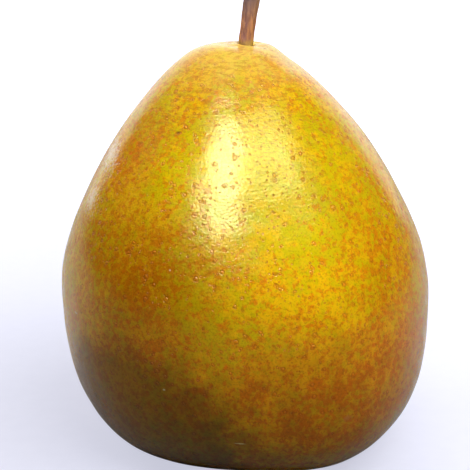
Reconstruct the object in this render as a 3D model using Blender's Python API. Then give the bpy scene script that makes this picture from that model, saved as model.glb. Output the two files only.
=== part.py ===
"""A short, broad dessert pear that stands on its calyx end with its stem up.

The frame has +Z up and the table at z = 0, with the origin under the middle of the fruit's
box. Lengths are in metres and angles in degrees.

The flesh is one solid. It is turned from an outline that runs from the calyx tube, through
the basin, the rim that the fruit stands on, the belly and the crown, down into the stem's
socket. The turned shape is then grown uneven: five lobes under the basin, a slight triangle and
oval, one fuller side, a lean of the neck and a crown that is higher on one side. The stem,
the five dried sepals and the tuft of dried stamens are pieces of their own, each CLEARANCE
away from the flesh.
"""

import math

import bmesh
import bpy
from mathutils import Matrix, Vector

# Gap between pieces that touch in the fruit.
CLEARANCE = 0.0003

# Flesh: the turned outline, before it is grown uneven.
FLESH_HEIGHT = 0.0840
BELLY_RADIUS = 0.0390
BELLY_HEIGHT = 0.0314
RIM_RADIUS = 0.0145
CROWN_RADIUS = 0.0050
UNDERSIDE_RUN = 0.0148  # how far the underside leaves the rim level before it turns up
BELLY_DROP = 0.0276  # how far the flank stays upright below the belly
FLANK_RISE = 0.0218  # how far the flank stays upright above the belly
CROWN_RUN = 0.0092  # how far the crown runs out level before it turns down

# Flesh: calyx basin and calyx tube underneath.
BASIN_DEPTH = 0.0060
BASIN_RUN = 0.0045  # level stretch at each end of the basin's wall
TUBE_RADIUS = 0.0028
TUBE_DEPTH = 0.0026

# Flesh: how it grew uneven. Each swelling is a share of the radius.
LOBES = 5
LOBE_SWELLING = 0.024
LOBE_AZIMUTH = -59.0
TRIANGLE_SWELLING = 0.014
TRIANGLE_AZIMUTH = -62.0
OVAL_SWELLING = 0.025
OVAL_AZIMUTH = -44.0
FULL_SIDE_SWELLING = 0.017
FULL_SIDE_AZIMUTH = -26.0
NECK_LEAN = -0.0011
CROWN_SLOPE = -0.11  # the crown rises by this much per length towards +X
VALLEY_RISE = 0.0012  # how far the rim rises off the table between two lobes
FOOT_SINK = 0.0004  # depth by which each lobe is pressed flat on the table
FOOT_REACH = 0.0120  # how far from the rim the lobes fade out
CORE_BLEND = 0.0080  # width over which the round core turns into the uneven flesh

# Stem: its root goes straight down into the socket, and its tip carries the scar.
STEM_RADIUS = 0.00137
STEM_TIP_RADIUS = 0.00205
STEM_LENGTH = 0.0200  # above the flesh
STEM_SEAT_DEPTH = 0.0040
STEM_PIT_DEPTH = 0.0005
STEM_ROOT = Vector((-0.0002, 0.0012))
STEM_TIP_OFFSET = Vector((0.0034, 0.0012))
STEM_LOW_BEND = (0.2, 0.3)  # shares of the tip's offset and of the length
STEM_HIGH_BEND = (0.5, 0.65)
SCAR_TILT = 14.0
SCAR_RISE = 0.25  # share of the tip's radius by which the scar stands up inside its rim
SCAR_SIZE = 0.8  # share of the tip's radius that is left flat

# Calyx: five dried sepals in the basin, round a tuft of dried stamens in the tube.
SEPAL_START = 0.10  # stretch of the basin's wall that a sepal lies along, as shares of it
SEPAL_END = 0.62
SEPAL_THICKNESS = 0.0007
SEPAL_THINNING = 0.6  # share of the thickness lost at the tip
SEPAL_NARROWING = 0.92  # share of the width lost at the tip
SEPAL_TAPER = 1.6  # above 1, a sepal stays broad near its root
SEPAL_GAP = 0.0005  # between the roots of two sepals
SEPAL_LIFT = 0.0011  # how far a tip stands off the wall
SEPAL_AZIMUTH = -25.0
TUFT_PAD = 0.0009
STAMENS = 10  # in each of two rings
STAMEN_LENGTH = 0.0021
STAMEN_TAPER = 0.5
STAMEN_SPLAY = 0.15
STAMEN_RINGS = 6  # steps from the tuft's edge to its middle

# Fineness of the meshes.
SPIN_STEPS = 60
STEM_SIDES = 16
SEPAL_SIDES = 10
STEM_STEPS = 12
SEPAL_STEPS = 8
SHARP_ANGLE = 50.0

SOCKET_RADIUS = STEM_RADIUS + CLEARANCE
CORE_RADIUS = max(TUBE_RADIUS, SOCKET_RADIUS) + CLEARANCE
MERGE_DISTANCE = 0.000001


def smooth(share):
    """Eases from 0 at share 0 to 1 at share 1."""
    share = min(max(share, 0.0), 1.0)
    return share * share * (3 - 2 * share)


def wave(azimuth, count, peak):
    """A wave with this many crests round the axis, one of them at the peak in degrees."""
    return math.cos(count * (azimuth - math.radians(peak)))


def bezier(ends, share):
    """The point at this share of a cubic curve given by its two ends and their handles."""
    start, start_handle, end_handle, end = (Vector(point) for point in ends)
    rest = 1 - share
    return (
        start * rest**3
        + start_handle * (3 * rest**2 * share)
        + end_handle * (3 * rest * share**2)
        + end * share**3
    )


def curve(ends, steps):
    """Points along a cubic curve, with both ends."""
    return [bezier(ends, step / steps) for step in range(steps + 1)]


def basin_wall():
    """The curve of the basin's wall, from the calyx tube's mouth to the rim."""
    return (
        (TUBE_RADIUS, BASIN_DEPTH),
        (TUBE_RADIUS + BASIN_RUN, BASIN_DEPTH),
        (RIM_RADIUS - BASIN_RUN, 0),
        (RIM_RADIUS, 0),
    )


def flesh_outline():
    """(radius, height) points of the turned flesh, from the calyx tube to the socket."""
    tube_top = BASIN_DEPTH + TUBE_DEPTH
    pit_floor = FLESH_HEIGHT - STEM_PIT_DEPTH
    seat = pit_floor - STEM_SEAT_DEPTH
    underside = (
        (RIM_RADIUS, 0),
        (RIM_RADIUS + UNDERSIDE_RUN, 0),
        (BELLY_RADIUS, BELLY_HEIGHT - BELLY_DROP),
        (BELLY_RADIUS, BELLY_HEIGHT),
    )
    flank = (
        (BELLY_RADIUS, BELLY_HEIGHT),
        (BELLY_RADIUS, BELLY_HEIGHT + FLANK_RISE),
        (CROWN_RADIUS + CROWN_RUN, FLESH_HEIGHT),
        (CROWN_RADIUS, FLESH_HEIGHT),
    )
    middle_of_pit = (SOCKET_RADIUS + CROWN_RADIUS) / 2
    pit = (
        (CROWN_RADIUS, FLESH_HEIGHT),
        (middle_of_pit, FLESH_HEIGHT),
        (middle_of_pit, pit_floor),
        (SOCKET_RADIUS, pit_floor),
    )
    points = [Vector((0, tube_top)), Vector((TUBE_RADIUS, tube_top))]
    points += curve(basin_wall(), 9)
    points += curve(underside, 14)[1:]
    points += curve(flank, 22)[1:]
    points += curve(pit, 4)[1:]
    points += [Vector((SOCKET_RADIUS, seat)), Vector((0, seat))]
    return points


def swelling(azimuth, height):
    """The share of the radius by which the flesh swells out at this azimuth and height."""
    lobes = LOBE_SWELLING * wave(azimuth, LOBES, LOBE_AZIMUTH) * (1 - height) ** 2
    triangle = TRIANGLE_SWELLING * wave(azimuth, 3, TRIANGLE_AZIMUTH) * (1 - height / 2)
    oval = OVAL_SWELLING * wave(azimuth, 2, OVAL_AZIMUTH) * (1 - height)
    full_side = FULL_SIDE_SWELLING * wave(azimuth, 1, FULL_SIDE_AZIMUTH) * (1 - height) ** 3
    return lobes + triangle + oval + full_side


def feet(azimuth, radius, height):
    """How far the rim moves up between the lobes, and down under them."""
    crest = (1 + wave(azimuth, LOBES, LOBE_AZIMUTH)) / 2
    near_rim = smooth(1 - abs(radius - RIM_RADIUS) / FOOT_REACH) * (1 - height) ** 2
    return (VALLEY_RISE * (1 - crest) - FOOT_SINK * crest) * near_rim


def grown(point):
    """Where a point of the turned shape ends up in the uneven fruit.

    The core round the socket and the calyx tube only moves sideways, so that what fits
    into them stays round.
    """
    radius = math.hypot(point.x, point.y)
    azimuth = math.atan2(point.y, point.x)
    height = point.z / FLESH_HEIGHT
    free = smooth((radius - CORE_RADIUS) / CORE_BLEND)
    core_shift = STEM_ROOT if point.z > BELLY_HEIGHT else Vector((0, 0))
    shift = core_shift.lerp(Vector((NECK_LEAN * height**2, 0)), free)
    spread = 1 + free * swelling(azimuth, height)
    rise = free * CROWN_SLOPE * point.x * height**6 + feet(azimuth, radius, height)
    return Vector((point.x * spread + shift.x, point.y * spread + shift.y, max(point.z + rise, 0)))


def finished(name, bm, colour, roughness, parent):
    """A smooth-shaded object from this mesh, in a Principled material of its own."""
    bmesh.ops.recalc_face_normals(bm, faces=bm.faces)
    mesh = bpy.data.meshes.new(name)
    bm.to_mesh(mesh)
    bm.free()
    mesh.shade_smooth()
    mesh.set_sharp_from_angle(angle=math.radians(SHARP_ANGLE))
    material = bpy.data.materials.new(name)
    material.use_nodes = True
    shader = material.node_tree.nodes["Principled BSDF"]
    shader.inputs["Base Color"].default_value = (*colour, 1)
    shader.inputs["Roughness"].default_value = roughness
    shader.inputs["Metallic"].default_value = 0
    mesh.materials.append(material)
    obj = bpy.data.objects.new(name, mesh)
    obj.parent = parent
    bpy.context.scene.collection.objects.link(obj)
    return obj


def swept(rings, sides):
    """A closed tube through rings, each a matrix that places and scales a unit circle."""
    bm = bmesh.new()
    bmesh.ops.create_circle(bm, cap_ends=True, segments=sides, radius=1, matrix=rings[0])
    cap = bm.faces[:] + bm.edges[:]
    for before, after in zip(rings, rings[1:]):
        cap = bmesh.ops.extrude_face_region(bm, geom=cap)["geom"]
        corners = [item for item in cap if isinstance(item, bmesh.types.BMVert)]
        bmesh.ops.transform(bm, matrix=after @ before.inverted(), verts=corners)
    return bm


def make_flesh(parent):
    """The fruit's body: the turned outline, grown uneven."""
    bm = bmesh.new()
    corners = [bm.verts.new((point.x, 0, point.y)) for point in flesh_outline()]
    edges = [bm.edges.new(pair) for pair in zip(corners, corners[1:])]
    bmesh.ops.spin(
        bm,
        geom=corners + edges,
        cent=(0, 0, 0),
        axis=(0, 0, 1),
        angle=math.tau,
        steps=SPIN_STEPS,
        use_merge=True,
    )
    bmesh.ops.remove_doubles(bm, verts=bm.verts, dist=MERGE_DISTANCE)
    for corner in bm.verts:
        corner.co = grown(corner.co)
    return finished("pear_body", bm, (0.64, 0.42, 0.045), 0.38, parent)


def stem_ring(share):
    """The stem's ring at this share of its length above the flesh."""
    path = (
        (0, 0, 0),
        (*(STEM_TIP_OFFSET * STEM_LOW_BEND[0]), STEM_LENGTH * STEM_LOW_BEND[1]),
        (*(STEM_TIP_OFFSET * STEM_HIGH_BEND[0]), STEM_LENGTH * STEM_HIGH_BEND[1]),
        (*STEM_TIP_OFFSET, STEM_LENGTH),
    )
    here = bezier(path, share)
    radius = STEM_RADIUS + (STEM_TIP_RADIUS - STEM_RADIUS) * share**2
    tilt = Matrix.Rotation(math.radians(SCAR_TILT) * share**2, 4, "Y")
    return Matrix.Translation(here) @ tilt @ Matrix.Diagonal((radius, radius, radius, 1))


def make_stem(parent):
    """The stem, from its seat in the socket to the scar at its tip."""
    foot = STEM_SEAT_DEPTH - CLEARANCE
    root = [
        Matrix.Translation((0, 0, -foot)) @ Matrix.Scale(STEM_RADIUS, 4),
        Matrix.Translation((0, 0, -foot / 2)) @ Matrix.Scale(STEM_RADIUS, 4),
    ]
    shares = [step / STEM_STEPS for step in range(STEM_STEPS + 1)]
    rim = stem_ring(1) @ Matrix.Translation((0, 0, SCAR_RISE)) @ Matrix.Scale(SCAR_SIZE, 4)
    bm = swept(root + [stem_ring(share) for share in shares] + [rim], STEM_SIDES)
    skin = Vector((*STEM_ROOT, FLESH_HEIGHT - STEM_PIT_DEPTH))
    bmesh.ops.translate(bm, vec=skin, verts=bm.verts)
    return finished("stem", bm, (0.40, 0.19, 0.07), 0.72, parent)


def sepal_ring(share):
    """The sepal's ring at this share of its length, along +X under the basin's wall."""
    along = SEPAL_START + (SEPAL_END - SEPAL_START) * share
    wall = bezier(basin_wall(), along)
    ahead = (bezier(basin_wall(), along + 0.01) - wall).normalized()
    half_thickness = SEPAL_THICKNESS / 2 * (1 - SEPAL_THINNING * share)
    drop = CLEARANCE + half_thickness + SEPAL_LIFT * share**2
    centre = wall + Vector((ahead.y, -ahead.x)) * drop
    root = bezier(basin_wall(), SEPAL_START).x
    root_half_width = root * math.sin(math.pi / LOBES) - SEPAL_GAP / 2
    half_width = root_half_width * (1 - SEPAL_NARROWING * share**SEPAL_TAPER)
    turn = Matrix.Rotation(math.atan2(ahead.x, ahead.y), 4, "Y")
    size = Matrix.Diagonal((half_thickness, half_width, half_thickness, 1))
    return Matrix.Translation((centre.x, 0, centre.y)) @ turn @ size


def make_sepal(number, parent):
    """One dried sepal in the basin."""
    bm = swept([sepal_ring(step / SEPAL_STEPS) for step in range(SEPAL_STEPS + 1)], SEPAL_SIDES)
    azimuth = math.radians(SEPAL_AZIMUTH + number * 360 / LOBES)
    bmesh.ops.rotate(bm, cent=(0, 0, 0), matrix=Matrix.Rotation(azimuth, 3, "Z"), verts=bm.verts)
    for corner in bm.verts:
        corner.co = grown(corner.co)
    return finished(f"sepal_{number}", bm, (0.10, 0.055, 0.025), 0.85, parent)


def make_tuft(parent):
    """The dried stamens: a pad in the calyx tube with two rings of stalks pointing down."""
    radius = TUBE_RADIUS - CLEARANCE
    top = BASIN_DEPTH + TUBE_DEPTH - CLEARANCE
    bm = bmesh.new()
    bmesh.ops.create_cone(
        bm,
        cap_ends=True,
        segments=2 * STAMENS,
        radius1=radius,
        radius2=radius,
        depth=TUFT_PAD,
        matrix=Matrix.Translation((0, 0, top - TUFT_PAD / 2)),
    )
    underside = [min(bm.faces, key=lambda face: face.calc_center_median().z)]
    stalks = []
    for ring in range(4):
        made = bmesh.ops.inset_region(bm, faces=underside, thickness=radius / STAMEN_RINGS)["faces"]
        made.sort(key=lambda face: math.atan2(*face.calc_center_median().xy))
        if ring in (1, 3):
            stalks += made[ring // 2 :: 2]
    for tip in bmesh.ops.extrude_discrete_faces(bm, faces=stalks)["faces"]:
        middle = tip.calc_center_median()
        to_middle = Matrix.Translation(-middle)
        bmesh.ops.scale(bm, vec=(STAMEN_TAPER, STAMEN_TAPER, 1), space=to_middle, verts=tip.verts)
        splay = middle.xy * STAMEN_SPLAY
        bmesh.ops.translate(bm, vec=(splay.x, splay.y, -STAMEN_LENGTH), verts=tip.verts)
    return finished("stamen_tuft", bm, (0.06, 0.035, 0.02), 0.9, parent)


def centre_over_origin(parent, flesh):
    """Moves the whole fruit so that the flesh's box stands over the origin."""
    corners = [corner.co for corner in flesh.data.vertices]
    for axis in (0, 1):
        values = [corner[axis] for corner in corners]
        parent.location[axis] = -(min(values) + max(values)) / 2


def main():
    for obj in list(bpy.data.objects):
        bpy.data.objects.remove(obj)
    pear = bpy.data.objects.new("pear", None)
    bpy.context.scene.collection.objects.link(pear)
    flesh = make_flesh(pear)
    make_stem(pear)
    for number in range(1, LOBES + 1):
        make_sepal(number, pear)
    make_tuft(pear)
    centre_over_origin(pear, flesh)


main()
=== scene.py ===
import logging
import math
from dataclasses import dataclass, field
from enum import Enum
from typing import Iterable, Optional, Union

import bmesh
import bpy
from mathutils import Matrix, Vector, noise


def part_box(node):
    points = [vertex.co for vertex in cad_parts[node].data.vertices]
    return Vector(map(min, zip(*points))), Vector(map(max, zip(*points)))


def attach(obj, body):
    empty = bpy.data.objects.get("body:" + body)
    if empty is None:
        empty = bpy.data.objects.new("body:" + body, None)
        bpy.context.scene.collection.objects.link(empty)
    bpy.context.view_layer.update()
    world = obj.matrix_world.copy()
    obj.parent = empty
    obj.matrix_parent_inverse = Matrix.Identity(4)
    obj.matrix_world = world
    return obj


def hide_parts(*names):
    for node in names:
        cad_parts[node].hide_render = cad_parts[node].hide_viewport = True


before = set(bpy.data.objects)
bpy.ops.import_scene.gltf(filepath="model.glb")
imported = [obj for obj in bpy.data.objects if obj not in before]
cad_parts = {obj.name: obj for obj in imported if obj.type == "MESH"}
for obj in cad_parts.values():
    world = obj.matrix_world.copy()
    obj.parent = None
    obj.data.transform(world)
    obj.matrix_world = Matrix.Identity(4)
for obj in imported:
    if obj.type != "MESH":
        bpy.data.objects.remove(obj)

LOG = logging.getLogger("pear")
MM = 0.001

Socket = bpy.types.NodeSocket
Colour = tuple[float, float, float]
Triple = tuple[float, float, float]
Input = Union[Socket, float, Colour]

WHITE: Colour = (1.0, 1.0, 1.0)


class Slot(Enum):
    """The record's material slots."""

    SKIN = "skin"
    STEM = "stem"
    SEPAL = "sepal"
    STAMEN = "stamen"


class Op(Enum):
    """What a Math or Vector Math node does."""

    ADD = "ADD"
    SUBTRACT = "SUBTRACT"
    MULTIPLY = "MULTIPLY"
    DIVIDE = "DIVIDE"
    ABSOLUTE = "ABSOLUTE"
    LENGTH = "LENGTH"


# ---------------------------------------------------------------- shader building


@dataclass(frozen=True)
class Grain:
    """One fractal noise: its largest features in millimetres, octaves, their strength, and warp."""

    size: float
    detail: float = 3.0
    roughness: float = 0.6
    distortion: float = 0.0


@dataclass(frozen=True)
class Ramp:
    """A smooth change from start to end, as a value goes from low to high."""

    low: float
    high: float
    start: float = 0.0
    end: float = 1.0


@dataclass(frozen=True)
class Patch:
    """A soft-edged ellipsoid of skin, with its middle and its half-lengths in millimetres.

    The core is the share of it that is fully covered, and ragged is how far its edge wanders.
    """

    name: str
    centre: Triple
    reach: Triple
    core: float = field(default=0.1, kw_only=True)
    ragged: float = field(default=0.5, kw_only=True)


class Recipe:
    """Adds nodes to one material and hands back their sockets."""

    # A Mix node's colour sockets share their names with its number sockets, so they go by place.
    MIX_FIRST = 6
    MIX_SECOND = 7
    MIX_RESULT = 2

    def __init__(self, name: str) -> None:
        """Starts a material.

        Args:
            name: what the material is called.
        """
        self.material = bpy.data.materials.new(name)
        self.material.use_nodes = True
        self.tree = self.material.node_tree
        self.shader = self.tree.nodes["Principled BSDF"]
        self.point = self.tree.nodes.new("ShaderNodeTexCoord").outputs["Object"]

    def put(self, socket: Socket, value: Input) -> None:
        """Links a socket to an input, or sets the input to a plain value.

        Args:
            socket: the input.
            value: a socket, a number or a colour.
        """
        if isinstance(value, Socket):
            self.tree.links.new(value, socket)
        elif isinstance(value, tuple) and socket.type == "RGBA":
            socket.default_value = (*value, 1.0)
        else:
            socket.default_value = value

    def set(self, name: str, value: Input) -> None:
        """Sets or links one of the shader's own inputs."""
        self.put(self.shader.inputs[name], value)

    def math(self, operation: Op, first: Input, second: Input = 0.0) -> Socket:
        """A Math node.

        Args:
            operation: what it does.
            first: its first value or socket.
            second: its second value or socket.

        Returns:
            The result's socket.
        """
        node = self.tree.nodes.new("ShaderNodeMath")
        node.operation = operation.value
        self.put(node.inputs[0], first)
        self.put(node.inputs[1], second)
        return node.outputs[0]

    def total(self, *terms: Input) -> Socket:
        """The sum of two or more values or sockets.

        Args:
            terms: what is added up.

        Returns:
            The sum's socket.
        """
        result = terms[0]
        for term in terms[1:]:
            result = self.math(Op.ADD, result, term)
        return result

    def product(self, *factors: Input) -> Socket:
        """The product of two or more values or sockets.

        Args:
            factors: what is multiplied.

        Returns:
            The product's socket.
        """
        result = factors[0]
        for factor in factors[1:]:
            result = self.math(Op.MULTIPLY, result, factor)
        return result

    def centred(self, value: Socket) -> Socket:
        """A value from 0 to 1 moved down, so that it lies round 0."""
        return self.math(Op.SUBTRACT, value, 0.5)

    def ease(self, value: Socket, ramp: Ramp) -> Socket:
        """Takes a value through a smooth ramp.

        Args:
            value: the socket that is read.
            ramp: the change.

        Returns:
            The result's socket.
        """
        node = self.tree.nodes.new("ShaderNodeMapRange")
        node.interpolation_type = "SMOOTHSTEP"
        self.put(node.inputs["Value"], value)
        node.inputs["From Min"].default_value = ramp.low
        node.inputs["From Max"].default_value = ramp.high
        node.inputs["To Min"].default_value = ramp.start
        node.inputs["To Max"].default_value = ramp.end
        return node.outputs["Result"]

    def vector(self, operation: Op, first: Socket, second: Optional[Vector] = None) -> Socket:
        """A Vector Math node.

        Args:
            operation: what it does.
            first: the vector that it reads.
            second: the fixed vector, if it takes one.

        Returns:
            The result's socket.
        """
        node = self.tree.nodes.new("ShaderNodeVectorMath")
        node.operation = operation.value
        self.put(node.inputs[0], first)
        if second is not None:
            node.inputs[1].default_value = second
        return node.outputs["Value" if operation is Op.LENGTH else "Vector"]

    def along(self, axis: str) -> Socket:
        """The point's place along one axis, X, Y or Z.

        Args:
            axis: the axis.

        Returns:
            The number's socket, in metres.
        """
        node = self.tree.nodes.new("ShaderNodeSeparateXYZ")
        self.put(node.inputs[0], self.point)
        return node.outputs[axis]

    def noise(self, grain: Grain, squeeze: Optional[Triple] = None) -> Socket:
        """Fractal noise.

        Args:
            grain: its settings.
            squeeze: how much finer it is along X, Y and Z.

        Returns:
            Its value, from 0 to 1 round 0.5.
        """
        node = self.tree.nodes.new("ShaderNodeTexNoise")
        point = self.vector(Op.MULTIPLY, self.point, Vector(squeeze)) if squeeze else self.point
        self.put(node.inputs["Vector"], point)
        node.inputs["Scale"].default_value = 1 / (grain.size * MM)
        node.inputs["Detail"].default_value = grain.detail
        node.inputs["Roughness"].default_value = grain.roughness
        node.inputs["Distortion"].default_value = grain.distortion
        return node.outputs["Fac"]

    def cells(self, size: float) -> tuple[Socket, Socket]:
        """Voronoi cells.

        Args:
            size: the size of a cell, in millimetres.

        Returns:
            The distance to the nearest centre, in cells, and a random colour for each cell.
        """
        node = self.tree.nodes.new("ShaderNodeTexVoronoi")
        self.put(node.inputs["Vector"], self.point)
        node.inputs["Scale"].default_value = 1 / (size * MM)
        return node.outputs["Distance"], node.outputs["Color"]

    def channel(self, colour: Socket, name: str) -> Socket:
        """One channel of a colour.

        Args:
            colour: the colour's socket.
            name: Red, Green or Blue.

        Returns:
            The channel's socket.
        """
        node = self.tree.nodes.new("ShaderNodeSeparateColor")
        self.put(node.inputs[0], colour)
        return node.outputs[name]

    def mix(self, factor: Input, first: Input, second: Input, blend: str = "MIX") -> Socket:
        """Mixes two colours.

        Args:
            factor: how much of the second is taken.
            first: a colour or a socket.
            second: a colour or a socket.
            blend: the way they are mixed.

        Returns:
            The mixed colour's socket.
        """
        node = self.tree.nodes.new("ShaderNodeMix")
        node.data_type = "RGBA"
        node.blend_type = blend
        self.put(node.inputs["Factor"], factor)
        self.put(node.inputs[self.MIX_FIRST], first)
        self.put(node.inputs[self.MIX_SECOND], second)
        return node.outputs[self.MIX_RESULT]

    def cover(self, patch: Patch, wander: Socket) -> Socket:
        """How far a soft patch covers the skin: 1 inside its core, easing to 0 at its surface.

        Args:
            patch: the patch.
            wander: a socket round 0 that breaks the edge up.

        Returns:
            The coverage's socket, on a node labelled with the patch's name.
        """
        away = self.vector(Op.SUBTRACT, self.point, Vector(patch.centre) * MM)
        shares = self.vector(Op.MULTIPLY, away, Vector([1 / (side * MM) for side in patch.reach]))
        distance = self.total(self.vector(Op.LENGTH, shares), self.product(wander, patch.ragged))
        cover = self.ease(distance, Ramp(patch.core, 1.0, 1.0, 0.0))
        cover.node.label = patch.name
        return cover

    def bump(self, height: Socket, depth: float, normal: Optional[Socket] = None) -> Socket:
        """A Bump node.

        Args:
            height: the relief, from 0 to 1.
            depth: its depth in metres.
            normal: the relief under it.

        Returns:
            The bumped normal's socket.
        """
        node = self.tree.nodes.new("ShaderNodeBump")
        node.inputs["Strength"].default_value = 1.0
        node.inputs["Distance"].default_value = depth
        self.put(node.inputs["Height"], height)
        if normal is not None:
            self.put(node.inputs["Normal"], normal)
        return node.outputs["Normal"]


# ---------------------------------------------------------------- finishes


@dataclass(frozen=True)
class Zone(Patch):
    """A large patch of skin with a tint of its own and more or less rust than the rest; some tints
    paint shade, and some paint light.
    """

    tint: Colour
    rust: float = 0.0


@dataclass(frozen=True)
class Mark(Patch):
    """A small scar, speck or scuff on the skin, or a pale patch at its edge that is partly waxy bloom
    and partly a painted reflection.
    """

    colour: Colour
    cover: float = 0.8
    core: float = field(default=0.2, kw_only=True)
    ragged: float = field(default=1.0, kw_only=True)


@dataclass(frozen=True)
class RustFinish:
    """Rust in the skin: a wide veil, patches, freckles and a net of fine threads."""

    rust: Colour = (0.68, 0.18, 0.004)
    freckle: Colour = (0.72, 0.17, 0.004)
    net: Colour = (0.32, 0.12, 0.004)
    fine: Grain = Grain(1.15, 3, 0.55, 0.5)
    density: Grain = Grain(7)
    density_weight: float = 0.40
    veil: Ramp = Ramp(0.40, 0.62, 0.0, 0.30)
    patches: Ramp = Ramp(0.48, 0.68, 0.0, 0.66)
    freckle_size: float = 1.5
    freckle_picked: Ramp = Ramp(0.30, 0.50)
    freckle_disc: Ramp = Ramp(0.12, 0.44, 1.0, 0.0)
    freckle_cover: Ramp = Ramp(0.42, 0.56, 0.0, 0.62)
    thread: Grain = Grain(1.0, 3, 0.6, 0.8)
    thread_line: Ramp = Ramp(0.0, 0.055, 1.0, 0.0)
    thread_cover: Ramp = Ramp(0.47, 0.64, 0.0, 0.34)

    def lay(self, recipe: Recipe, colour: Socket, extra: list[Socket]) -> Socket:
        """Lays the rust over a colour.

        Args:
            recipe: the material that is being built.
            colour: the colour under the rust.
            extra: what is added to the rust's level, one socket for each zone with more or less.

        Returns:
            The rusted colour.
        """
        density = recipe.product(recipe.centred(recipe.noise(self.density)), self.density_weight)
        level = recipe.total(recipe.noise(self.fine), density, *extra)
        colour = recipe.mix(recipe.ease(level, self.veil), colour, self.rust)
        colour = recipe.mix(recipe.ease(level, self.patches), colour, self.rust)
        away, tag = recipe.cells(self.freckle_size)
        freckles = recipe.product(
            recipe.ease(away, self.freckle_disc),
            recipe.ease(recipe.channel(tag, "Green"), self.freckle_picked),
            recipe.ease(level, self.freckle_cover),
        )
        colour = recipe.mix(freckles, colour, self.freckle)
        thread = recipe.math(Op.ABSOLUTE, recipe.centred(recipe.noise(self.thread)))
        threads = recipe.product(
            recipe.ease(thread, self.thread_line), recipe.ease(level, self.thread_cover)
        )
        return recipe.mix(threads, colour, self.net)


@dataclass(frozen=True)
class LenticelFinish:
    """Lenticels: small corky dots in a darker ring and a rusty halo, large and small."""

    cork: Colour = (0.74, 0.27, 0.012)
    ring: Colour = (0.24, 0.08, 0.005)
    halo: Colour = (0.68, 0.18, 0.004)
    # Each layer's cell size and dot radius, in millimetres.
    layers: tuple[tuple[float, float], ...] = ((1.9, 0.40), (1.1, 0.18))
    warp: Grain = Grain(0.5, 2, 0.5)
    warp_weight: float = 1.8
    cluster: Grain = Grain(5, 2, 0.5)
    cluster_gap: Ramp = Ramp(0.40, 0.52, 0.4, 0.0)
    least_scale: float = 0.45
    scale_spread: float = 0.8
    # Where each part of a dot lies, in dot radii from its middle.
    core_reach: Ramp = Ramp(0.35, 0.8, 1.0, 0.0)
    halo_reach: Ramp = Ramp(0.9, 2.1, 1.0, 0.0)
    ring_inside: Ramp = Ramp(0.55, 0.95)
    ring_outside: Ramp = Ramp(1.0, 1.45, 1.0, 0.0)
    halo_cover: float = 0.50
    ring_cover: float = 0.40
    core_cover: float = 0.65
    ring_depth: float = 0.6

    def lay(self, recipe: Recipe, colour: Socket) -> tuple[Socket, Socket]:
        """Lays the lenticels over a colour.

        Args:
            recipe: the material that is being built.
            colour: the colour round them.

        Returns:
            The colour with lenticels, and how high they stand.
        """
        warp = recipe.product(recipe.centred(recipe.noise(self.warp)), self.warp_weight)
        gap = recipe.ease(recipe.noise(self.cluster), self.cluster_gap)
        rises = []
        for cell, dot in self.layers:
            distance, tag = recipe.cells(cell)
            spread = recipe.product(recipe.channel(tag, "Red"), self.scale_spread)
            scale = recipe.total(spread, self.least_scale)
            away = recipe.math(Op.DIVIDE, recipe.product(distance, cell / dot), scale)
            away = recipe.total(away, warp, gap)
            core = recipe.ease(away, self.core_reach)
            halo = recipe.ease(away, self.halo_reach)
            ring = recipe.product(
                recipe.ease(away, self.ring_inside), recipe.ease(away, self.ring_outside)
            )
            colour = recipe.mix(recipe.product(halo, self.halo_cover), colour, self.halo)
            colour = recipe.mix(recipe.product(ring, self.ring_cover), colour, self.ring)
            colour = recipe.mix(recipe.product(core, self.core_cover), colour, self.cork)
            rises.append(recipe.math(Op.SUBTRACT, core, recipe.product(ring, self.ring_depth)))
        return colour, recipe.total(*rises)


@dataclass(frozen=True)
class CrownFinish:
    """The crown of the fruit: a pale top that is partly its own colour and partly a painted reflection,
    and fine level streaks.
    """

    # Partly the crown's own pale colour, partly a painted reflection of the bright surroundings: it
    # covers more towards the top.
    buff_and_sheen: Colour = (0.70, 0.50, 0.11)
    streak: Colour = (0.42, 0.17, 0.015)
    wander: Grain = Grain(9)
    wander_depth: float = 16 * MM
    buff_and_sheen_height: Ramp = Ramp(75 * MM, 86 * MM, 0.0, 0.60)
    streak_line: Ramp = Ramp(0.51, 0.61)
    streak_height: Ramp = Ramp(50 * MM, 74 * MM, 0.0, 0.52)

    def lay(self, recipe: Recipe, colour: Socket, streak: Socket) -> Socket:
        """Lays the bloom and the streaks over a colour.

        Args:
            recipe: the material that is being built.
            colour: the colour under them.
            streak: the streaks' noise.

        Returns:
            The colour with its crown.
        """
        wander = recipe.product(recipe.centred(recipe.noise(self.wander)), self.wander_depth)
        height = recipe.total(recipe.along("Z"), wander)
        colour = recipe.mix(recipe.ease(height, self.buff_and_sheen_height), colour, self.buff_and_sheen)
        streaks = recipe.product(
            recipe.ease(streak, self.streak_line), recipe.ease(height, self.streak_height)
        )
        return recipe.mix(streaks, colour, self.streak)


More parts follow.
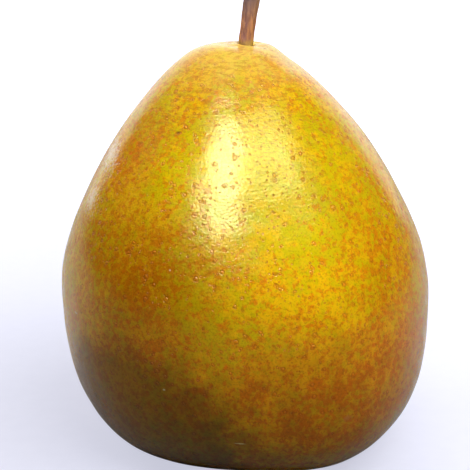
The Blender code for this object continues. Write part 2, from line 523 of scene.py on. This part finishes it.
@dataclass(frozen=True)
class SkinFinish:
    """Waxy pear skin: green and gold ground, rust, lenticels, a streaked crown, zones and marks, some
    of which are painted shade, painted light and painted reflections.
    """

    green: Colour = (0.56, 0.42, 0.002)
    gold: Colour = (0.76, 0.44, 0.004)
    speckle: Colour = (0.20, 0.10, 0.002)
    shine: Colour = (1.0, 1.0, 0.25)
    refraction: float = 1.45
    slow_ground: Grain = Grain(15)
    quick_ground: Grain = Grain(2.6)
    gold_share: Ramp = Ramp(0.41, 0.59)
    zone_edge: Grain = Grain(5, 4, 0.65)
    mark_edge: Grain = Grain(0.6)
    speckles: Grain = Grain(0.42, 3, 0.65)
    speckle_cover: Ramp = Ramp(0.32, 0.52, 0.42, 0.0)
    streaks: Grain = Grain(1.9, 4, 0.62, 0.4)
    streak_squeeze: Triple = (1.0, 1.0, 4.5)
    dents: Grain = Grain(4.5, 2, 0.5)
    dent_depth: float = 0.10 * MM
    pimples: Grain = Grain(0.5, 2, 0.5)
    pimple_depth: float = 0.056 * MM
    pore_depth: float = 0.045 * MM
    streak_depth: float = 0.012 * MM
    gloss: Grain = Grain(2.5)
    roughness: Ramp = Ramp(0.3, 0.7, 0.14, 0.26)
    rust: RustFinish = RustFinish()
    lenticels: LenticelFinish = LenticelFinish()
    crown: CrownFinish = CrownFinish()
    # Places and reaches of zones and marks are in millimetres.
    zones: tuple[Zone, ...] = (
        Zone("russet left cheek", (-27, -24, 44), (26, 26, 24), (0.78, 0.72, 0.6), 0.06),
        Zone("rusty right flank", (32, -22, 38), (20, 26, 34), (0.92, 0.82, 0.6), 0.06),
        Zone("brown lower cheek", (-17, -31, 38), (20, 15, 20), (0.82, 0.72, 0.5), 0.04, core=0.20),
        Zone("warm belly", (0, -22, 20), (70, 40, 24), (1.05, 0.78, 0.6), 0.02, core=0.35),
        # Partly the skin's own browner foot, partly painted shade: the bottom is darker where the fruit
        # is in shade.
        Zone("bronze foot and painted shade", (10, -14, -8), (50, 50, 54), (0.52, 0.44, 0.4), 0.03, core=0.36),
        # Partly bronze skin, partly painted shade: darkens the lower right flank, where the fruit is in
        # shade.
        Zone("bronze right foot and painted shade", (14, -34, 22), (24, 18, 18), (0.80, 0.74, 0.5), 0.03),
        Zone("clear front", (5, -27, 65), (23, 20, 21), (1.0, 1.12, 0.6), -0.13),
        # Partly the skin's own gold, partly painted light: brightens the front where the light falls.
        Zone("gold front and painted light", (10, -35, 49), (20, 14, 18), (1.28, 1.28, 1.0), -0.03),
        Zone("olive patch", (-4, -37, 35), (12, 12, 18), (1.08, 1.08, 1.0), -0.03),
        # Partly the skin's own yellow, partly painted light: brightens the upper left front.
        Zone("yellow left front and painted light", (-11, -26, 65), (13, 12, 15), (1.20, 1.24, 0.5), -0.03),
        Zone("russet left shoulder", (-23, -14, 67), (11, 14, 15), (0.95, 0.76, 0.7), 0.06),
        # Painted shade: darkens the lower left edge, where the fruit is in shade.
        Zone("painted shade left edge", (-36, -14, 14), (15, 16, 19), (0.68, 0.56, 0.4)),
        # Painted light: lightens the lower right edge, where light reflected from the floor falls.
        Zone("painted light right foot", (28, -17, 9), (15, 16, 15), (1.42, 1.44, 1.0)),
        # Painted shade: darkens the lower left, where the fruit is in shade; only part of it is the
        # skin's own darker olive.
        Zone(
            "olive skin with painted shade",
            (-24, -26, 11),
            (33, 28, 23),
            (0.39, 0.35, 0.3),
            -0.01,
            core=0.60,
            ragged=0.28,
        ),
    )
    marks: tuple[Mark, ...] = (
        Mark("dark pit", (-13, -18.2, 69.8), (0.7, 0.9, 0.55), (0.10, 0.035, 0.005), 0.9),
        Mark("pale speck", (-14.5, -32.4, 46.1), (0.22, 0.6, 0.22), (0.80, 0.66, 0.40)),
        Mark("low pale speck", (-15.9, -34, 22.3), (0.4, 0.6, 0.3), (0.60, 0.50, 0.25)),
        Mark("short scratch", (-34.3, -16.7, 32.2), (1.2, 1.2, 0.25), (0.80, 0.62, 0.45)),
        Mark("low scratch", (-1.1, -35.2, 11.7), (1.6, 1.2, 0.22), (0.75, 0.60, 0.25)),
        Mark("scuff", (19.7, -34.3, 16.6), (1.3, 1.5, 0.9), (0.42, 0.16, 0.04), 0.6),
        # Partly waxy bloom, partly a painted reflection of the white surroundings at the left rim.
        Mark(
            "upper bloom and painted reflection",
            (-27.1, -6.3, 62.6),
            (3, 7, 5),
            (0.84, 0.72, 0.58),
            0.65,
            core=0.0,
            ragged=3.0,
        ),
        # Partly waxy bloom, partly a painted reflection of floor light at the lower right edge.
        Mark(
            "foot bloom and painted reflection",
            (30, -15, 10),
            (4, 6, 6.5),
            (0.80, 0.66, 0.52),
            0.60,
            core=0.0,
            ragged=2.5,
        ),
        Mark(
            "edge russet",
            (-32, -7, 49.5),
            (2.6, 6, 3.4),
            (0.46, 0.18, 0.03),
            0.65,
            core=0.0,
            ragged=2.0,
        ),
        # Partly waxy bloom, partly a painted reflection of the white surroundings at the left rim.
        Mark(
            "lower bloom and painted reflection",
            (-31.2, -9, 54.2),
            (2.4, 6, 4),
            (0.82, 0.70, 0.55),
            0.60,
            core=0.0,
            ragged=3.0,
        ),
    )

    def ground(self, recipe: Recipe) -> Socket:
        """The ground colour: gold and yellow-green in slow patches.

        Args:
            recipe: the material that is being built.

        Returns:
            The colour's socket.
        """
        slow = recipe.product(recipe.noise(self.slow_ground), 0.5)
        quick = recipe.product(recipe.noise(self.quick_ground), 0.5)
        share = recipe.total(slow, quick)
        return recipe.mix(recipe.ease(share, self.gold_share), self.green, self.gold)

    def covers(self, recipe: Recipe) -> list[Socket]:
        """How far each zone covers the skin, with ragged edges.

        Args:
            recipe: the material that is being built.

        Returns:
            One socket for each zone.
        """
        wander = recipe.centred(recipe.noise(self.zone_edge))
        return [recipe.cover(zone, wander) for zone in self.zones]

    def tinted(self, recipe: Recipe, colour: Socket, covers: list[Socket]) -> Socket:
        """The colour with each zone's tint on it.

        Args:
            recipe: the material that is being built.
            colour: the colour that is tinted.
            covers: how far each zone covers the skin.

        Returns:
            The tinted colour.
        """
        for zone, cover in zip(self.zones, covers):
            tinted = recipe.mix(1.0, colour, zone.tint, "MULTIPLY")
            colour = recipe.mix(cover, colour, tinted)
        return colour

    def marked(self, recipe: Recipe, colour: Socket) -> Socket:
        """The colour with the small marks on it.

        Args:
            recipe: the material that is being built.
            colour: the colour under them.

        Returns:
            The marked colour.
        """
        wander = recipe.centred(recipe.noise(self.mark_edge))
        for mark in self.marks:
            cover = recipe.product(recipe.cover(mark, wander), mark.cover)
            colour = recipe.mix(cover, colour, mark.colour)
        return colour

    def dress(self) -> bpy.types.Material:
        """Builds the material.

        Returns:
            The material.
        """
        recipe = Recipe("waxy_pear_skin")
        covers = self.covers(recipe)
        extra = [
            recipe.product(cover, zone.rust) for zone, cover in zip(self.zones, covers) if zone.rust
        ]
        colour = self.rust.lay(recipe, self.ground(recipe), extra)
        colour, pores = self.lenticels.lay(recipe, colour)
        speckles = recipe.ease(recipe.noise(self.speckles), self.speckle_cover)
        colour = recipe.mix(speckles, colour, self.speckle)
        streaks = recipe.noise(self.streaks, self.streak_squeeze)
        colour = self.crown.lay(recipe, colour, streaks)
        colour = self.tinted(recipe, colour, covers)
        recipe.set("Base Color", self.marked(recipe, colour))
        normal = recipe.bump(recipe.noise(self.dents), self.dent_depth)
        normal = recipe.bump(recipe.noise(self.pimples), self.pimple_depth, normal)
        normal = recipe.bump(pores, self.pore_depth, normal)
        recipe.set("Normal", recipe.bump(streaks, self.streak_depth, normal))
        recipe.set("Roughness", recipe.ease(recipe.noise(self.gloss), self.roughness))
        recipe.set("IOR", self.refraction)
        recipe.set("Specular Tint", self.shine)
        return recipe.material


@dataclass(frozen=True)
class StemFinish:
    """Woody stem: orange-brown bark, greyer towards the tip, green where it leaves the flesh."""

    bark: Colour = (0.62, 0.27, 0.075)
    dark: Colour = (0.32, 0.12, 0.035)
    grey: Colour = (0.24, 0.14, 0.08)
    fresh: Colour = (0.50, 0.33, 0.03)
    grain: Grain = Grain(0.9, 4, 0.65, 0.2)
    grain_squeeze: Triple = (1.6, 1.6, 0.22)
    bark_share: Ramp = Ramp(0.42, 0.62)
    blotch: Grain = Grain(1.8)
    blotch_depth: float = 3 * MM
    # Where the bark turns grey, in shares of the stem's shown length.
    grey_from: float = 0.20
    grey_to: float = 0.48
    grey_cover: float = 0.75
    fresh_reach: float = 1.6 * MM
    fresh_cover: float = 0.8
    grain_depth: float = 0.10 * MM
    pits: Grain = Grain(0.3)
    pit_depth: float = 0.03 * MM
    roughness: Ramp = Ramp(0.3, 0.7, 0.75, 0.55)

    def dress(self, root: float, tip: float) -> bpy.types.Material:
        """Builds the material.

        Args:
            root: the height at which the stem leaves the flesh.
            tip: the height of its tip.

        Returns:
            The material.
        """
        recipe = Recipe("woody_pear_stem")
        grain = recipe.noise(self.grain, self.grain_squeeze)
        colour = recipe.mix(recipe.ease(grain, self.bark_share), self.dark, self.bark)
        blotch = recipe.product(recipe.centred(recipe.noise(self.blotch)), self.blotch_depth)
        height = recipe.total(recipe.along("Z"), blotch)
        length = tip - root
        low, high = root + self.grey_from * length, root + self.grey_to * length
        greyed = recipe.ease(height, Ramp(low, high, 0.0, self.grey_cover))
        colour = recipe.mix(greyed, colour, self.grey)
        fresh = recipe.ease(height, Ramp(root, root + self.fresh_reach, self.fresh_cover, 0.0))
        recipe.set("Base Color", recipe.mix(fresh, colour, self.fresh))
        normal = recipe.bump(grain, self.grain_depth)
        recipe.set("Normal", recipe.bump(recipe.noise(self.pits), self.pit_depth, normal))
        recipe.set("Roughness", recipe.ease(grain, self.roughness))
        return recipe.material


@dataclass(frozen=True)
class DryFinish:
    """Dead, dry flower tissue."""

    name: str
    light: Colour
    dark: Colour
    vein: Grain = Grain(0.7, 4, 0.65, 0.5)
    light_share: Ramp = Ramp(0.38, 0.66)
    vein_depth: float = 0.12 * MM
    roughness: Ramp = Ramp(0.3, 0.7, 0.95, 0.8)

    def dress(self) -> bpy.types.Material:
        """Builds the material.

        Returns:
            The material.
        """
        recipe = Recipe(self.name)
        vein = recipe.noise(self.vein)
        recipe.set("Base Color", recipe.mix(recipe.ease(vein, self.light_share), self.dark, self.light))
        recipe.set("Normal", recipe.bump(vein, self.vein_depth))
        recipe.set("Roughness", recipe.ease(vein, self.roughness))
        return recipe.material


# ---------------------------------------------------------------- pieces


def smooth(share: float) -> float:
    """Eases from 0 at share 0 to 1 at share 1."""
    share = min(max(share, 0.0), 1.0)
    return share * share * (3 - 2 * share)


def stem_root() -> Vector:
    """The middle of the stem's buried end.

    Returns:
        The mean of the vertices within 0.1 mm of the stem's lowest.
    """
    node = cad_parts["stem"]
    low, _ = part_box("stem")
    ring = [vert.co for vert in node.data.vertices if vert.co.z < low.z + 0.1 * MM]
    return sum(ring, Vector()) / len(ring)


@dataclass
class Grown:
    """A piece grown from its CAD node: its mesh is merged, made of quads again and refined."""

    node: str
    name: str
    slot: Slot
    levels: int = 2
    merge_distance: float = 0.002 * MM
    flattest_fold: float = math.radians(60)
    loosest_quad: float = math.radians(170)

    def quads(self) -> bmesh.types.BMesh:
        """Reads the node's mesh as one closed skin.

        Returns:
            The mesh, with its triangles joined into quads.
        """
        bm = bmesh.new()
        bm.from_mesh(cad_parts[self.node].data)
        bmesh.ops.remove_doubles(bm, verts=bm.verts, dist=self.merge_distance)
        bmesh.ops.join_triangles(
            bm,
            faces=bm.faces,
            angle_face_threshold=self.flattest_fold,
            angle_shape_threshold=self.loosest_quad,
        )
        return bm

    def refined(self) -> bmesh.types.BMesh:
        """Subdivides the quads smoothly.

        Returns:
            The finer mesh.
        """
        bm = self.quads()
        mesh = bpy.data.meshes.new(self.name)
        bm.to_mesh(mesh)
        bm.free()
        rough = bpy.data.objects.new(self.name + "_rough", mesh)
        bpy.context.scene.collection.objects.link(rough)
        modifier = rough.modifiers.new("refine", "SUBSURF")
        modifier.levels = self.levels
        modifier.render_levels = self.levels
        evaluated = rough.evaluated_get(bpy.context.evaluated_depsgraph_get())
        bm = bmesh.new()
        bm.from_mesh(evaluated.to_mesh())
        evaluated.to_mesh_clear()
        bpy.data.objects.remove(rough)
        bpy.data.meshes.remove(mesh)
        return bm

    def sculpt(self, bm: bmesh.types.BMesh) -> None:
        """Works the piece's own detail into its mesh."""
        raise NotImplementedError

    def finish(self) -> bpy.types.Material:
        """The piece's material."""
        raise NotImplementedError

    def build(self) -> bpy.types.Object:
        """Makes the piece, dresses it and puts it in its node's place.

        Returns:
            The piece.
        """
        bm = self.refined()
        bm.normal_update()
        self.sculpt(bm)
        bmesh.ops.recalc_face_normals(bm, faces=bm.faces)
        mesh = bpy.data.meshes.new(self.name)
        bm.to_mesh(mesh)
        bm.free()
        mesh.shade_smooth()
        mesh.materials.append(self.finish())
        piece = bpy.data.objects.new(self.name, mesh)
        bpy.context.scene.collection.objects.link(piece)
        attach(piece, "root")
        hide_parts(self.node)
        LOG.info("%s: %d faces", self.name, len(mesh.polygons))
        return piece


@dataclass(frozen=True)
class Swell:
    """A soft rise or dip in the flesh, in millimetres."""

    centre: Triple
    reach: float
    rise: float

    def lift(self, point: Vector) -> float:
        """How far the flesh rises at a point.

        Args:
            point: the point, in metres.

        Returns:
            The rise, in metres.
        """
        share = 1 - (point / MM - Vector(self.centre)).length / self.reach
        return self.rise * MM * smooth(share)


@dataclass
class Flesh(Grown):
    """The fruit's body with its skin, which has slow swells, ripples and a collar at the stem."""

    node: str = "pear_body"
    name: str = "pear_skin"
    slot: Slot = Slot.SKIN
    swell_size: float = 16 * MM
    swell: float = 0.25 * MM
    ripple_size: float = 5 * MM
    ripple: float = 0.07 * MM
    # The foot stays on the table: the relief fades in over this height.
    foot_height: float = 4 * MM
    seat_radius: float = 1.67 * MM
    grip_radius: float = 1.43 * MM
    grip_reach: float = 2.6 * MM
    wall_height: float = 2 * MM
    collar_rise: float = 0.7 * MM
    collar_reach: float = 5.2 * MM
    collar_lean: float = 0.5
    fold_depth: float = 0.48 * MM
    folds: int = 5
    right_shoulder: Swell = Swell((8.5, -2.0, 82.0), 7.5, -0.60)
    left_crown: Swell = Swell((-5.0, -3.0, 83.5), 6.5, 0.35)

    def relief(self, point: Vector, normal: Vector) -> Vector:
        """The skin's own unevenness.

        Args:
            point: a point of the smooth skin.
            normal: the skin's direction there.

        Returns:
            How far the point moves.
        """
        slow = noise.noise(point / self.swell_size)
        quick = noise.noise(point / self.ripple_size)
        out = normal * (self.swell * slow + self.ripple * quick)
        out.z += self.right_shoulder.lift(point) + self.left_crown.lift(point)
        return out

    def collar(self, across: Vector, rise: float) -> tuple[float, Vector]:
        """Closes the flesh round the stem: it grips the stem, stands up in a collar and folds.

        Args:
            across: the level way from the stem's middle to the point.
            rise: the point's height above the stem's buried end.

        Returns:
            How near the point is to the stem, from 0 to 1, and how far it moves.
        """
        reach = across.length
        outward = across.normalized()
        near = smooth((self.collar_reach - reach) / (self.collar_reach - self.seat_radius))
        wall = smooth(rise / self.wall_height)
        crease = math.cos(self.folds * math.atan2(across.y, across.x))
        fold = self.fold_depth * crease * near * (1 - near)
        held = smooth((self.grip_reach - reach) / (self.grip_reach - self.seat_radius))
        grip = held * (self.seat_radius - self.grip_radius) * wall
        lean = 1 - self.collar_lean * outward.x
        lift = wall * (self.collar_rise * lean * near + fold)
        return near, Vector((0, 0, lift)) - outward * grip

    def sculpt(self, bm: bmesh.types.BMesh) -> None:
        """Gives the skin its relief, and closes the flesh round the stem.

        Args:
            bm: the refined mesh.
        """
        low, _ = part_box("stem")
        root = stem_root()
        for vert in bm.verts:
            point = vert.co.copy()
            relief = self.relief(point, vert.normal)
            across = Vector((point.x - root.x, point.y - root.y, 0))
            if point.z < low.z or across.length > self.collar_reach:
                vert.co = point + relief * smooth(point.z / self.foot_height)
            else:
                near, shift = self.collar(across, point.z - low.z)
                vert.co = point + relief * (1 - near) + shift

    def finish(self) -> bpy.types.Material:
        """Waxy skin."""
        return SkinFinish().dress()


@dataclass
class Stem(Grown):
    """The woody stem, with lengthwise ridges, knots, a fuller left side and a torn tip."""

    node: str = "stem"
    name: str = "woody_stem"
    slot: Slot = Slot.STEM
    ridges: int = 7
    ridge_depth: float = 0.05 * MM
    twist: float = 2.0
    twist_length: float = 8 * MM
    knot_size: float = 1.5 * MM
    knot_depth: float = 0.09 * MM
    fuller_side: float = 0.36 * MM
    # The relief fades in over this height, which starts a little inside the flesh.
    fade_start: float = -1.5 * MM
    fade_height: float = 2.5 * MM
    scar_size: float = 0.6 * MM
    scar_depth: float = 0.30 * MM
    scar_reach: float = 2 * MM
    scar_fade: float = MM
    # How steeply upward the tip's surface faces where the scar starts, and over what change.
    scar_slope: float = 0.5
    scar_slope_fade: float = 0.4

    def sculpt(self, bm: bmesh.types.BMesh) -> None:
        """Gives the stem its relief and its torn tip.

        Args:
            bm: the refined mesh.
        """
        _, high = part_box(self.node)
        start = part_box("pear_body")[1].z + self.fade_start
        for vert in bm.verts:
            point = vert.co.copy()
            side = Vector((vert.normal.x, vert.normal.y, 0))
            shown = smooth((point.z - start) / self.fade_height)
            twist = self.twist * noise.noise(Vector((0, 0, point.z / self.twist_length)))
            ridge = math.cos(self.ridges * math.atan2(side.y, side.x) + twist)
            knot = noise.noise(point / self.knot_size)
            fuller = self.fuller_side * max(-side.x, 0.0)
            out = self.ridge_depth * ridge + self.knot_depth * knot + fuller
            torn = smooth((vert.normal.z - self.scar_slope) / self.scar_slope_fade)
            torn *= smooth((point.z - high.z + self.scar_reach) / self.scar_fade)
            pit = self.scar_depth * (0.5 + noise.noise(point / self.scar_size))
            vert.co = point + side * out * shown - Vector((0, 0, pit * torn))

    def finish(self) -> bpy.types.Material:
        """Bark, which starts at the top of the flesh."""
        _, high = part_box(self.node)
        return StemFinish().dress(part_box("pear_body")[1].z, high.z)


@dataclass
class Dried(Grown):
    """A dried piece of the flower, crumpled by a warp."""

    wrinkle: float = 0.16 * MM
    wrinkle_size: float = 1.2 * MM

    def sculpt(self, bm: bmesh.types.BMesh) -> None:
        """Crumples the piece.

        Args:
            bm: the refined mesh.
        """
        for vert in bm.verts:
            vert.co += noise.noise_vector(vert.co / self.wrinkle_size) * self.wrinkle


@dataclass
class Sepal(Dried):
    """One dried sepal."""

    slot: Slot = Slot.SEPAL

    def finish(self) -> bpy.types.Material:
        """Dry sepal tissue."""
        return DryFinish("dry_sepal", (0.16, 0.09, 0.045), (0.035, 0.02, 0.012)).dress()


@dataclass
class Tuft(Dried):
    """The tuft of dried stamens."""

    node: str = "stamen_tuft"
    name: str = "dry_stamens"
    slot: Slot = Slot.STAMEN
    levels: int = 1
    wrinkle: float = 0.14 * MM
    wrinkle_size: float = 0.8 * MM

    def finish(self) -> bpy.types.Material:
        """Dry stamen tissue."""
        return DryFinish("dry_stamen", (0.11, 0.065, 0.035), (0.02, 0.012, 0.008)).dress()


# ---------------------------------------------------------------- studio


@dataclass(frozen=True)
class SoftLight:
    """A rectangular soft light that faces the fruit, placed by azimuth and elevation."""

    name: str
    azimuth: float
    elevation: float
    distance: float
    width: float
    height: float
    power: float
    colour: Colour = WHITE
    fills: bool = True
    shines: bool = True

    def place(self, target: Vector) -> None:
        """Puts the light in the scene, turned towards a point and hidden from the camera.

        Args:
            target: the point.
        """
        azimuth = math.radians(self.azimuth)
        elevation = math.radians(self.elevation)
        level = math.cos(elevation)
        away = Vector((math.sin(azimuth) * level, -math.cos(azimuth) * level, math.sin(elevation)))
        light = bpy.data.lights.new(self.name, "AREA")
        light.shape = "RECTANGLE"
        light.size = self.width
        light.size_y = self.height
        light.energy = self.power
        light.color = self.colour
        lamp = bpy.data.objects.new(self.name, light)
        lamp.location = target + away * self.distance
        lamp.visible_diffuse = self.fills
        lamp.visible_glossy = self.shines
        lamp.visible_camera = False
        lamp.rotation_euler = (-away).to_track_quat("-Z", "Y").to_euler()
        bpy.context.scene.collection.objects.link(lamp)


@dataclass(frozen=True)
class FloorFinish:
    """Pale paper, which glows a little to the camera as painted light, dimmer round the fruit as a
    painted shadow, and lights the fruit less than it seems to.
    """

    dim: Colour = (0.14, 0.14, 0.15)
    pale: Colour = (0.15, 0.15, 0.16)
    fibre: Grain = Grain(4)
    pale_share: Ramp = Ramp(0.3, 0.7)
    # How much light the floor gives back to the fruit: to its flesh, and, going back along Y,
    # to its reflections.
    bounce: float = 0.16
    gloss_bounce: Ramp = Ramp(-0.02, 0.06, 0.30, 0.46)
    glow: Colour = (0.84, 0.85, 1.0)
    # The glow's strength, which paints light and shade on the floor: out from the fruit, dimmer close
    # to it as a painted shadow, to the right of it as painted light, and far from it, in metres.
    near_glow_painted_shade: Ramp = Ramp(0.035, 0.16, 0.68, 0.92)
    right_glow_painted_light: Ramp = Ramp(0.015, 0.05, 0.0, 0.20)
    far_glow: Ramp = Ramp(0.14, 0.30, 0.0, 0.5)
    roughness: float = 0.9
    specular: float = 0.1

    def dress(self) -> bpy.types.Material:
        """Builds the material.

        Returns:
            The material.
        """
        recipe = Recipe("pale_paper")
        ray = recipe.tree.nodes.new("ShaderNodeLightPath").outputs
        seen = recipe.mix(recipe.ease(recipe.noise(self.fibre), self.pale_share), self.dim, self.pale)
        gloss = recipe.ease(recipe.along("Y"), self.gloss_bounce)
        bounce = recipe.mix(ray["Is Diffuse Ray"], gloss, (self.bounce,) * 3)
        recipe.set("Base Color", recipe.mix(ray["Is Camera Ray"], bounce, seen))
        away = recipe.vector(Op.LENGTH, recipe.point)
        # Painted light and shade on the floor: its glow is dimmer near the fruit and stronger to its
        # right.
        glow = recipe.total(
            recipe.ease(away, self.near_glow_painted_shade),
            recipe.ease(recipe.along("X"), self.right_glow_painted_light),
            recipe.ease(away, self.far_glow),
        )
        recipe.set("Emission Color", self.glow)
        recipe.set("Emission Strength", recipe.product(glow, ray["Is Camera Ray"]))
        recipe.set("Roughness", self.roughness)
        recipe.set("Specular IOR Level", self.specular)
        return recipe.material


@dataclass
class Studio:
    """The pale floor, the soft lights and the camera."""

    aim: Vector = field(default_factory=lambda: Vector((-2.10, -0.12, 43.85)) * MM)
    elevation: float = 16.0
    distance: float = 0.34
    lens: float = 123.7
    sensor_width: float = 36.0
    clip_start: float = 0.01
    floor_radius: float = 3.0
    floor_sides: int = 96
    room: Colour = (0.93, 0.95, 1.0)
    room_strength: float = 0.02
    lights: tuple[SoftLight, ...] = (
        SoftLight("ceiling", 0, 89, 0.9, 0.7, 0.7, 2.1, WHITE, True, False),
        SoftLight("key", 38, 55, 0.8, 0.6, 0.5, 8.0, WHITE, True, False),
        SoftLight("back_left", -112, 36, 0.9, 0.5, 0.5, 4.4, WHITE, True, False),
        SoftLight("white_wall", 180, 14, 1.0, 1.8, 1.1, 8.4),
        SoftLight("tall_window", -24, 51, 0.8, 0.28, 0.44, 9.8, (0.90, 1.0, 2.2), False),
        SoftLight("side_window", 24, 58, 0.8, 0.60, 0.24, 5.0, (0.88, 1.0, 1.8), False),
    )

    def floor(self) -> bpy.types.Object:
        """Lays a wide pale disc on the table's level.

        Returns:
            The floor.
        """
        bm = bmesh.new()
        bmesh.ops.create_circle(
            bm, cap_ends=True, segments=self.floor_sides, radius=self.floor_radius
        )
        mesh = bpy.data.meshes.new("floor")
        bm.to_mesh(mesh)
        bm.free()
        mesh.materials.append(FloorFinish().dress())
        floor = bpy.data.objects.new("floor", mesh)
        bpy.context.scene.collection.objects.link(floor)
        return floor

    def world(self) -> bpy.types.World:
        """Sets a dim room round the fruit, which looks white to the camera.

        Returns:
            The world.
        """
        world = bpy.data.worlds.new("room")
        world.use_nodes = True
        nodes, links = world.node_tree.nodes, world.node_tree.links
        room = nodes["Background"]
        room.inputs["Color"].default_value = (*self.room, 1.0)
        room.inputs["Strength"].default_value = self.room_strength
        seen = nodes.new("ShaderNodeBackground")
        seen.inputs["Color"].default_value = (*WHITE, 1.0)
        ray = nodes.new("ShaderNodeLightPath")
        mixer = nodes.new("ShaderNodeMixShader")
        links.new(ray.outputs["Is Camera Ray"], mixer.inputs[0])
        links.new(room.outputs[0], mixer.inputs[1])
        links.new(seen.outputs[0], mixer.inputs[2])
        links.new(mixer.outputs[0], nodes["World Output"].inputs["Surface"])
        bpy.context.scene.world = world
        return world

    def camera(self) -> bpy.types.Object:
        """Puts the camera a little above the fruit, looking down at it.

        Returns:
            The camera.
        """
        data = bpy.data.cameras.new("camera")
        data.lens = self.lens
        data.sensor_width = self.sensor_width
        data.clip_start = self.clip_start
        camera = bpy.data.objects.new("camera", data)
        elevation = math.radians(self.elevation)
        away = Vector((0, -math.cos(elevation), math.sin(elevation)))
        camera.location = self.aim + away * self.distance
        camera.rotation_euler = (math.radians(90 - self.elevation), 0, 0)
        bpy.context.scene.collection.objects.link(camera)
        bpy.context.scene.camera = camera
        return camera

    def build(self) -> None:
        """Sets the studio up.

        The floor, the room, the camera and each light go in, and then the plain view transform.
        """
        self.floor()
        self.world()
        self.camera()
        for light in self.lights:
            light.place(self.aim)
        bpy.context.scene.view_settings.view_transform = "Standard"
        LOG.info("studio: %d lights", len(self.lights))


def main() -> None:
    """Builds the pear and its studio.

    The flesh comes first, then the stem, the five sepals, the tuft of stamens and the studio.
    """
    logging.basicConfig(level=logging.INFO, format="%(name)s: %(message)s")
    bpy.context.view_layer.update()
    Flesh().build()
    Stem().build()
    for number in range(1, 6):
        Sepal(f"sepal_{number}", f"dry_sepal_{number}").build()
    Tuft().build()
    Studio().build()


if __name__ == "__main__":
    main()
